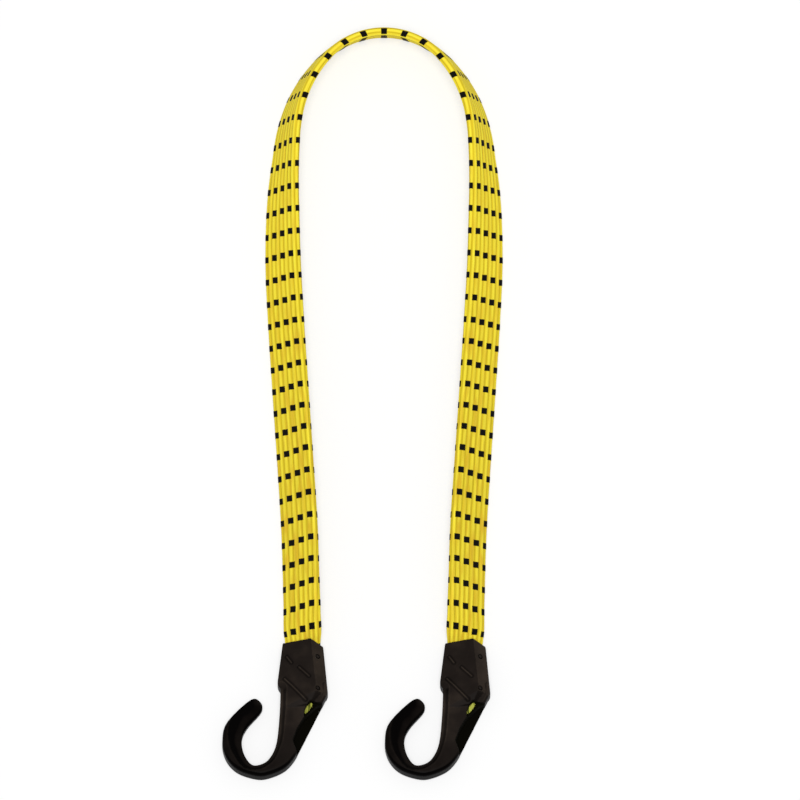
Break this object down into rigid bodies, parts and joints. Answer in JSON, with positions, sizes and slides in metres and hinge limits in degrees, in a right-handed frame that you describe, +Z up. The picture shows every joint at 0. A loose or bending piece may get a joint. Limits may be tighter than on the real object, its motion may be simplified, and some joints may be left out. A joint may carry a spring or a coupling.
{
  "type": "bungee cord",
  "caption": "Flat elastic cord with a woven sheath over rubber strands and a moulded plastic hook on each end, laid out in an arch.",
  "frame": {"origin": "on the surface that the cord lies on, at the middle of the two hooks", "axes": "+X across the two hooks, +Y from the hooks to the arch of the strap, +Z up from the surface"},
  "size_m": [0.1271, 0.3627, 0.0194],
  "materials": {
    "woven_yellow": "matte",
    "natural_rubber": "matte",
    "black_plastic": "satin",
    "plain_steel": "satin",
    "black_steel": "satin"
  },
  "bodies": {
    "strap": {"woven_sheath": "woven_yellow", "rubber_strand_1": "natural_rubber", "rubber_strand_2": "natural_rubber", "rubber_strand_3": "natural_rubber", "rubber_strand_4": "natural_rubber", "rubber_strand_5": "natural_rubber", "rubber_strand_6": "natural_rubber", "rubber_strand_7": "natural_rubber", "rubber_strand_8": "natural_rubber", "rubber_strand_9": "natural_rubber"},
    "left_hook": {"left_hook_body": "black_plastic", "left_crimp_sleeve": "plain_steel", "left_upper_pin": "black_steel", "left_lower_pin": "black_steel"},
    "right_hook": {"right_hook_body": "black_plastic", "right_crimp_sleeve": "plain_steel", "right_upper_pin": "black_steel", "right_lower_pin": "black_steel"}
  },
  "joints": [
    {"name": "left_stretch", "type": "slide", "parent": "strap", "child": "left_hook", "axis": [0, -1, 0], "range_m": [0, 0.22], "stiffness_N_per_m": 300, "deforming": ["woven_sheath", "rubber_strand_1", "rubber_strand_2", "rubber_strand_3", "rubber_strand_4", "rubber_strand_5", "rubber_strand_6", "rubber_strand_7", "rubber_strand_8", "rubber_strand_9"]},
    {"name": "right_stretch", "type": "slide", "parent": "strap", "child": "right_hook", "axis": [0, -1, 0], "range_m": [0, 0.22], "stiffness_N_per_m": 300, "deforming": ["woven_sheath", "rubber_strand_1", "rubber_strand_2", "rubber_strand_3", "rubber_strand_4", "rubber_strand_5", "rubber_strand_6", "rubber_strand_7", "rubber_strand_8", "rubber_strand_9"]}
  ]
}
